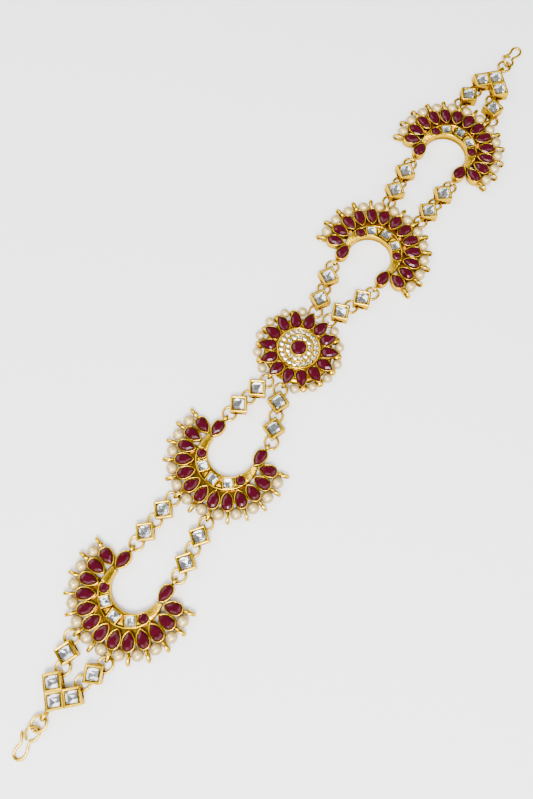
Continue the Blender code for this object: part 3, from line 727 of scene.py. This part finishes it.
# End corners
# Three of the square collets soldered in an L, each with its stone, and an upright loop of
# thick wire soldered on the corner for the end ring.
ARM = 3.889
corner_plain = collet_mesh("CornerPlain", ())
corner_arm = collet_mesh("CornerArm", (-1,))
bm = bmesh.new()
eye(bm, 3.6, 7.3, 0.1, 3.0, 0.75, 1.4)
corner_loop = as_mesh(bm, "CornerLoop", drawn_gold)
for name, x, y, degrees in (("left", -138.23, -0.9, 180.0), ("right", 138.96, -1.9, 0.0)):
    turn = math.radians(degrees)
    piece(f"corner_loop_{name}", corner_loop, x, y, turn, stands_for=[f"corner_{name}"])
    for k, (u, v) in enumerate(((0.0, 0.0), (-ARM, ARM), (-ARM, -ARM))):
        spot = Matrix.Rotation(turn, 3, "Z") @ Vector((u, v, 0.0))
        gold = corner_arm if k else corner_plain
        piece(f"corner_gold_{name}_{k}", gold, x + spot.x, y + spot.y, turn)
        piece(f"corner_clear_{name}_{k}", square_clear, x + spot.x, y + spot.y, turn)
        piece(f"corner_foil_{name}_{k}", square_foil, x + spot.x, y + spot.y, turn)


# End rings and hooks
# A ring on each corner's loop and a hook of hard drawn wire: from the free tip round a
# long drop, sharply in at the neck, over and round the ring and back to the neck.
HOOK_ROUTE = (
    (4.6, 0.5, 1.0), (3.4, 1.5, 1.9), (2.0, 1.9, 2.6), (0.8, 1.45, 2.75), (0.05, 0.4, 1.9), (0.05, -0.6, 1.1),
    (0.75, -1.5, 0.47), (2.1, -2.0, 0.47), (3.6, -1.7, 0.47), (4.9, -0.75, 0.47), (7.0, -1.7, 0.47),
    (8.9, -2.1, 0.47), (10.2, -1.6, 0.47), (10.8, -0.4, 0.47), (10.3, 0.9, 0.47), (8.9, 1.5, 0.47),
    (7.0, 1.3, 0.47), (5.6, 1.75, 0.47), (4.0, 2.9, 0.47),
)
HOOK_WIRE = 0.9
end_ring = ring_mesh("EndRing")
for name, side in (("left", -1), ("right", 1)):
    spot = middle(f"end_ring_{name}")
    piece(f"end_ring_shown_{name}", end_ring, spot.x, spot.y, 2.0, spot.z, [f"end_ring_{name}"])
    stops = [Vector((side * x, y, z)) for x, y, z in HOOK_ROUTE]
    stops = [stops[0] * 2 - stops[1]] + stops + [stops[-1] * 2 - stops[-2]]
    path = []
    for a, b, c, d in zip(stops[:-3], stops[1:-2], stops[2:-1], stops[3:]):
        for step in range(5):
            t = step / 5
            path.append(0.5 * (2 * b + (c - a) * t + (2 * a - 5 * b + 4 * c - d) * t * t
                               + (3 * b - a - 3 * c + d) * t ** 3))
    path.append(stops[-2])
    bm = bmesh.new()
    tube(bm, path, HOOK_WIRE / 2, sides=12)
    piece(f"hook_shown_{name}", as_mesh(bm, f"Hook_{name}", drawn_gold),
          spot.x + side * 1.15, spot.y, stands_for=[f"hook_{name}"])


# Floor and light
# A plain white sheet under the jewel and an even white room. Three broad soft lamps stand
# round it, and a smaller one near the camera's side gives the pearls and stones their spots.
floor_mesh = bpy.data.meshes.new("Floor")
floor_mesh.from_pydata([(-3, -3, 0), (3, -3, 0), (3, 3, 0), (-3, 3, 0)], [], [(0, 1, 2, 3)])
floor = bpy.data.objects.new("Floor", floor_mesh)
bpy.context.scene.collection.objects.link(floor)
paper = bpy.data.materials.new("WhitePaper")
paper.use_nodes = True
shader = paper.node_tree.nodes["Principled BSDF"]
shader.inputs["Base Color"].default_value = (0.93, 0.93, 0.93, 1.0)
shader.inputs["Roughness"].default_value = 0.8
floor_mesh.materials.append(paper)

world = bpy.data.worlds.new("Studio")
world.use_nodes = True
room = world.node_tree.nodes["Background"]
room.inputs["Color"].default_value = (1.0, 1.0, 1.0, 1.0)
room.inputs["Strength"].default_value = 0.36
bpy.context.scene.world = world

# Name, direction and height in degrees, width in metres and power in watts
LAMPS = (
    ("Near", 214, 61, 0.28, 16.0),
    ("Upper", 98, 46, 0.75, 10.0),
    ("Lower", -84, 40, 0.8, 8.0),
    ("End", 196, 30, 0.6, 6.0),
)
LAMP_DISTANCE = 0.85
for name, azimuth, height, size, power in LAMPS:
    lamp = bpy.data.lights.new(name, "AREA")
    lamp.size = size
    lamp.energy = power
    light = bpy.data.objects.new(name, lamp)
    height = math.radians(height)
    light.location = polar(math.cos(height), math.radians(azimuth), math.sin(height)) * LAMP_DISTANCE
    light.rotation_euler = light.location.to_track_quat("Z", "Y").to_euler()
    bpy.context.scene.collection.objects.link(light)


# Camera
# Almost overhead, at the photo's angle, and turned so that the chain runs from lower left to
# upper right.
lens = bpy.data.cameras.new("Camera")
lens.sensor_width = 36.0
lens.lens = 32.47
camera = bpy.data.objects.new("Camera", lens)
seen_from = Vector((-79.04, -37.43, 242.24)) * MM
looked_at = Vector((-20.98, -0.53, 0.0)) * MM
up_in_picture = Vector((0.828, 0.560, 0.0))
forward = (looked_at - seen_from).normalized()
right = forward.cross(up_in_picture).normalized()
up = right.cross(forward)
camera.matrix_world = Matrix.Translation(seen_from) @ Matrix((right, up, -forward)).transposed().to_4x4()
bpy.context.scene.collection.objects.link(camera)
bpy.context.scene.camera = camera
